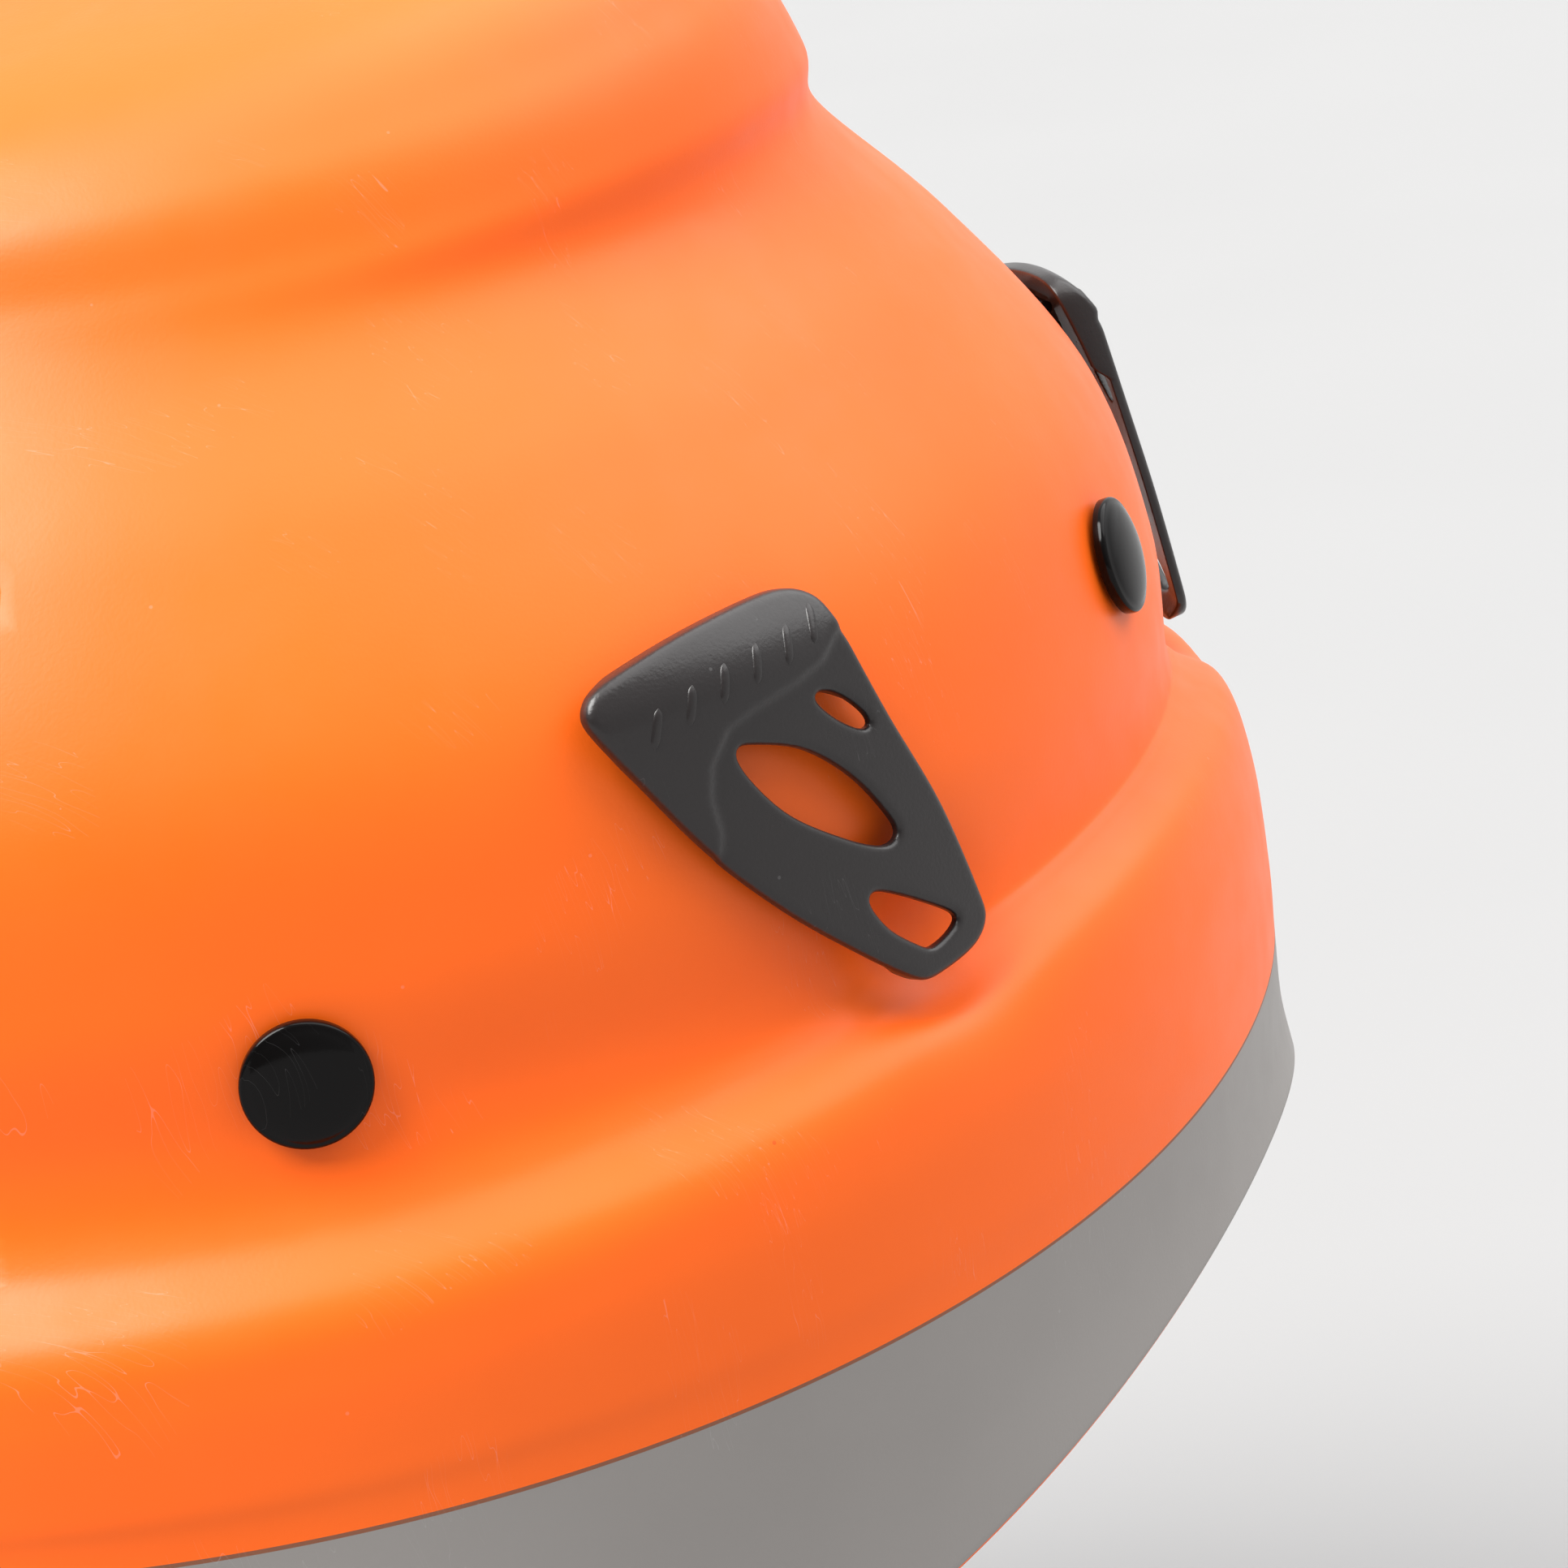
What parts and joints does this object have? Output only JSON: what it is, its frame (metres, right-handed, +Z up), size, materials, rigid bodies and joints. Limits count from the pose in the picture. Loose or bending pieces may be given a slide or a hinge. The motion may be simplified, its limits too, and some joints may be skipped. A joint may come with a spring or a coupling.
{
  "type": "climbing helmet",
  "caption": "Hard-shell climbing helmet with a textile cradle, headlamp clips, a dial-adjusted headband and a buckled chin strap.",
  "frame": {"origin": "centre of the headband, where a head holds the helmet", "axes": "+Z up through the crown, -Y the way the wearer looks, -X the wearer's right"},
  "size_m": [0.2456, 0.2798, 0.2992],
  "materials": {
    "shell": "satin moulded ABS with a grey coated lower band",
    "black_plastic": "satin black nylon",
    "rivet": "glossy black",
    "band": "satin dark grey",
    "webbing": "woven polyester webbing",
    "pad": "brushed knit over foam",
    "steel": "plated"
  },
  "bodies": {
    "shell": {"brow_pad": "pad", "buckle_plug": "black_plastic", "buckle_socket": "black_plastic", "buckle_socket_bar": "black_plastic", "clip_foot_front_left": "black_plastic", "clip_foot_front_right": "black_plastic", "clip_foot_rear_left": "black_plastic", "clip_foot_rear_right": "black_plastic", "cradle_strap_left": "webbing", "cradle_strap_long": "webbing", "cradle_strap_right": "webbing", "dial_base": "black_plastic", "dial_cover": "black_plastic", "dial_rail_lower": "black_plastic", "dial_rail_upper": "black_plastic", "headband": "band", "nape_pad": "pad", "rivet_front": "rivet", "rivet_rear": "rivet", "rivet_side_left": "rivet", "rivet_side_right": "rivet", "rivet_temple_left": "rivet", "rivet_temple_right": "rivet", "shell": "shell", "strap_divider_left": "black_plastic", "strap_divider_right": "black_plastic", "strap_lower_left": "webbing", "strap_lower_right": "webbing", "strap_side_left": "webbing", "strap_side_right": "webbing", "strap_temple_left": "webbing", "strap_temple_right": "webbing", "washer_front": "black_plastic", "washer_rear": "black_plastic", "washer_side_left": "black_plastic", "washer_side_right": "black_plastic", "washer_temple_left": "black_plastic", "washer_temple_right": "black_plastic"},
    "clip_front_right": {"clip_lever_front_right": "black_plastic"},
    "clip_front_left": {"clip_lever_front_left": "black_plastic"},
    "clip_rear_right": {"clip_lever_rear_right": "black_plastic"},
    "clip_rear_left": {"clip_lever_rear_left": "black_plastic"},
    "dial": {"dial_wheel": "black_plastic", "dial_stem": "black_plastic", "dial_pinion": "black_plastic", "dial_screw": "steel"},
    "rack_right": {"rack_right": "band"},
    "rack_left": {"rack_left": "band"},
    "latch_front": {"buckle_latch_front": "black_plastic"},
    "latch_rear": {"buckle_latch_rear": "black_plastic"},
    "keeper": {"strap_keeper": "black_plastic"}
  },
  "joints": [
    {"name": "clip_front_right_flex", "type": "hinge", "parent": "shell", "child": "clip_front_right", "pos_m": [-0.06499, -0.10808, 0.06145], "axis": [-0.8115, 0.5843, 0], "range_deg": [0, 12], "stiffness_Nm_per_rad": 0.25},
    {"name": "clip_front_left_flex", "type": "hinge", "parent": "shell", "child": "clip_front_left", "pos_m": [0.06499, -0.10808, 0.06145], "axis": [-0.8115, -0.5843, 0], "range_deg": [0, 12], "stiffness_Nm_per_rad": 0.25},
    {"name": "clip_rear_right_flex", "type": "hinge", "parent": "shell", "child": "clip_rear_right", "pos_m": [-0.08033, 0.0711, 0.06366], "axis": [0.5319, 0.8468, 0], "range_deg": [0, 12], "stiffness_Nm_per_rad": 0.25},
    {"name": "clip_rear_left_flex", "type": "hinge", "parent": "shell", "child": "clip_rear_left", "pos_m": [0.08033, 0.0711, 0.06366], "axis": [0.5319, -0.8468, 0], "range_deg": [0, 12], "stiffness_Nm_per_rad": 0.25},
    {"name": "dial_turn", "type": "hinge", "parent": "shell", "child": "dial", "pos_m": [0, 0.1, -0.03], "axis": [0, 1, 0], "range_deg": [-60, 150]},
    {"name": "rack_right_slide", "type": "slide", "parent": "shell", "child": "rack_right", "axis": [1, 0, 0], "range_m": [-0.0066, 0.0162]},
    {"name": "rack_left_slide", "type": "slide", "parent": "shell", "child": "rack_left", "axis": [-1, 0, 0], "range_m": [-0.0066, 0.0162]},
    {"name": "latch_front_press", "type": "hinge", "parent": "shell", "child": "latch_front", "pos_m": [0.0014, -0.0389, -0.15654], "axis": [0, -0.5767, -0.817], "range_deg": [0, 6], "stiffness_Nm_per_rad": 0.05},
    {"name": "latch_rear_press", "type": "hinge", "parent": "shell", "child": "latch_rear", "pos_m": [0.0014, -0.0291, -0.16346], "axis": [0, 0.5767, 0.817], "range_deg": [0, 6], "stiffness_Nm_per_rad": 0.05},
    {"name": "keeper_slide", "type": "slide", "parent": "shell", "child": "keeper", "axis": [1, 0, 0], "range_m": [-0.005, 0.005]}
  ],
  "couplings": [
    {"joint": "rack_right_slide", "follows": "dial_turn", "m_per_rad": 0.006},
    {"joint": "rack_left_slide", "follows": "dial_turn", "m_per_rad": 0.006}
  ]
}
